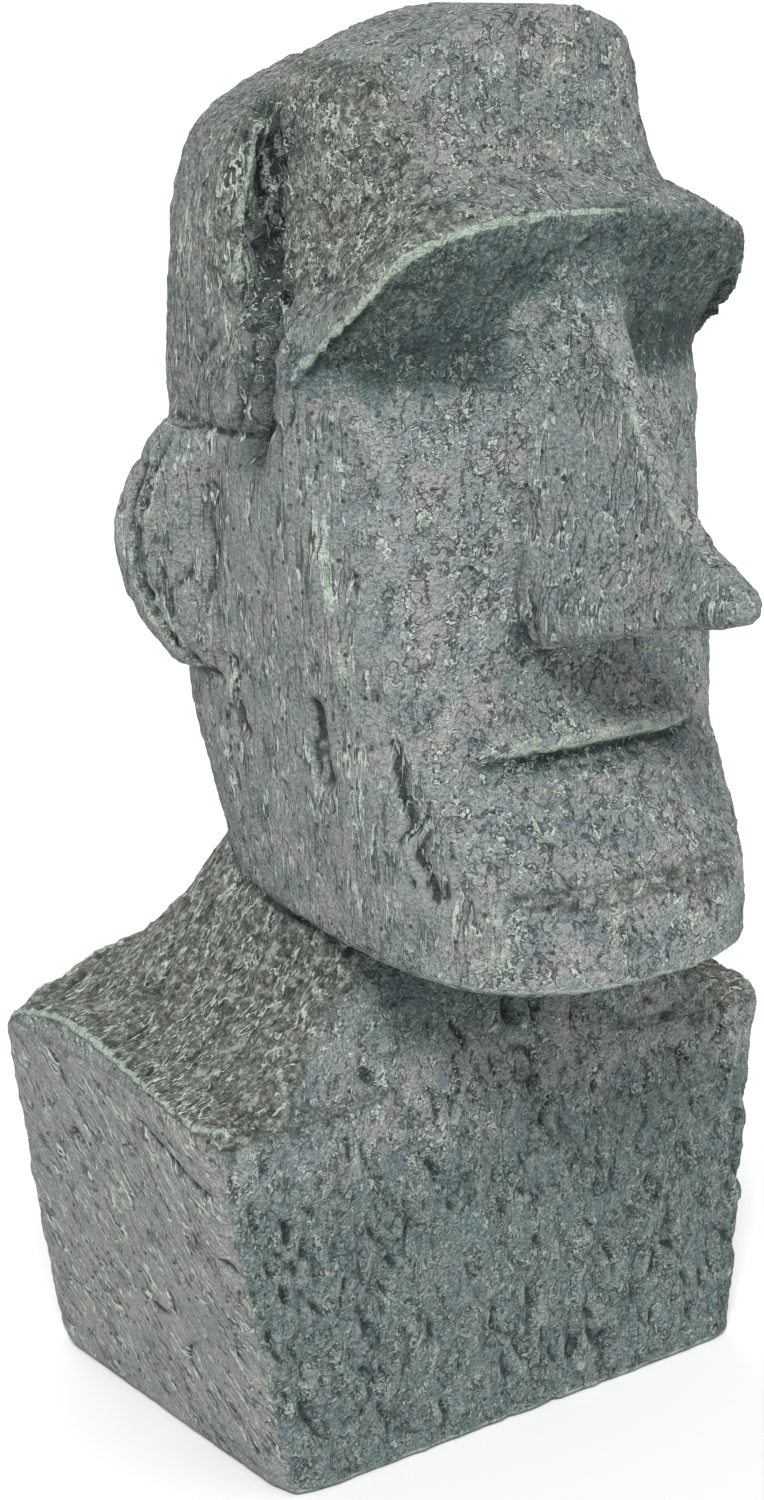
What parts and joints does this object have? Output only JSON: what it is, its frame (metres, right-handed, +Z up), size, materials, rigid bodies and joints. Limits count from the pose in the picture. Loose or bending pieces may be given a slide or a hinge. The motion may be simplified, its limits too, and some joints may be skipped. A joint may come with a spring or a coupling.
{
  "type": "moai stone head statue",
  "caption": "Cast garden moai: long stone head with arched brow, wedge nose and jutting chin on a flat-cut torso block.",
  "frame": {"origin": "on the flat underside, in the middle of its width and below the neck", "axes": "+Z up, -Y the way the face looks, +X the statue's left"},
  "size_m": [0.3604, 0.36, 0.7],
  "materials": {
    "stone": "rough"
  },
  "bodies": {
    "root": {"moai_statue": "stone"}
  },
  "joints": []
}
